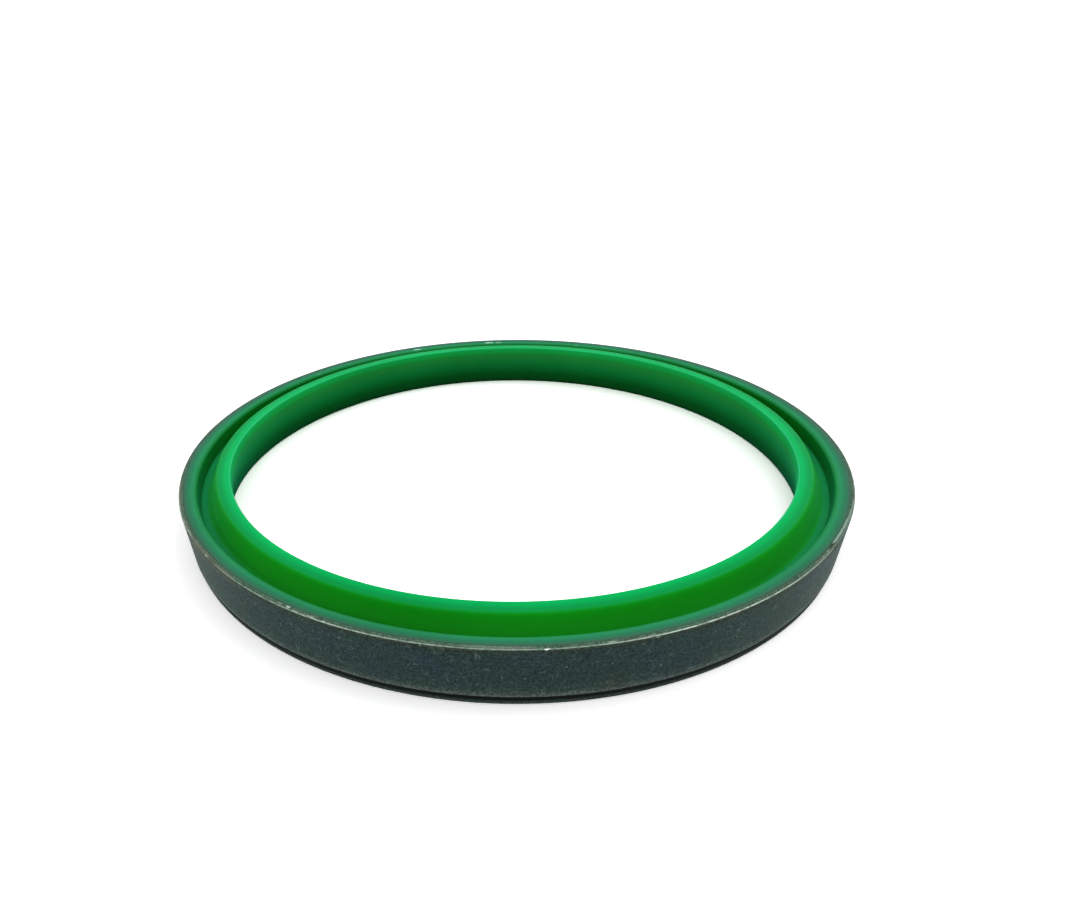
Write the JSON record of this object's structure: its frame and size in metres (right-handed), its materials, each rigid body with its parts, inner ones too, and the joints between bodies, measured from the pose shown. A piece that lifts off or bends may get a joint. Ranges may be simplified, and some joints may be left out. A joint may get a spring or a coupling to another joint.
{
  "type": "metal-cased rod wiper seal",
  "caption": "Flat ring seal that wipes a hydraulic cylinder rod: green polyurethane lip bonded inside a dark turned steel case.",
  "frame": {"origin": "centre of the flat face that sits on the housing's shoulder", "axes": "+Z along the ring's axis, out of the cylinder, from the seated face towards the wiping lip"},
  "size_m": [0.115, 0.115, 0.0095],
  "materials": {
    "phosphated_steel": "matt dark phosphate on turned steel, rubbed bright along the top edge",
    "polyurethane": "smooth satin, slightly translucent cast green polyurethane"
  },
  "bodies": {
    "root": {"steel_case": "phosphated_steel", "wiper_ring": "polyurethane"}
  },
  "joints": []
}
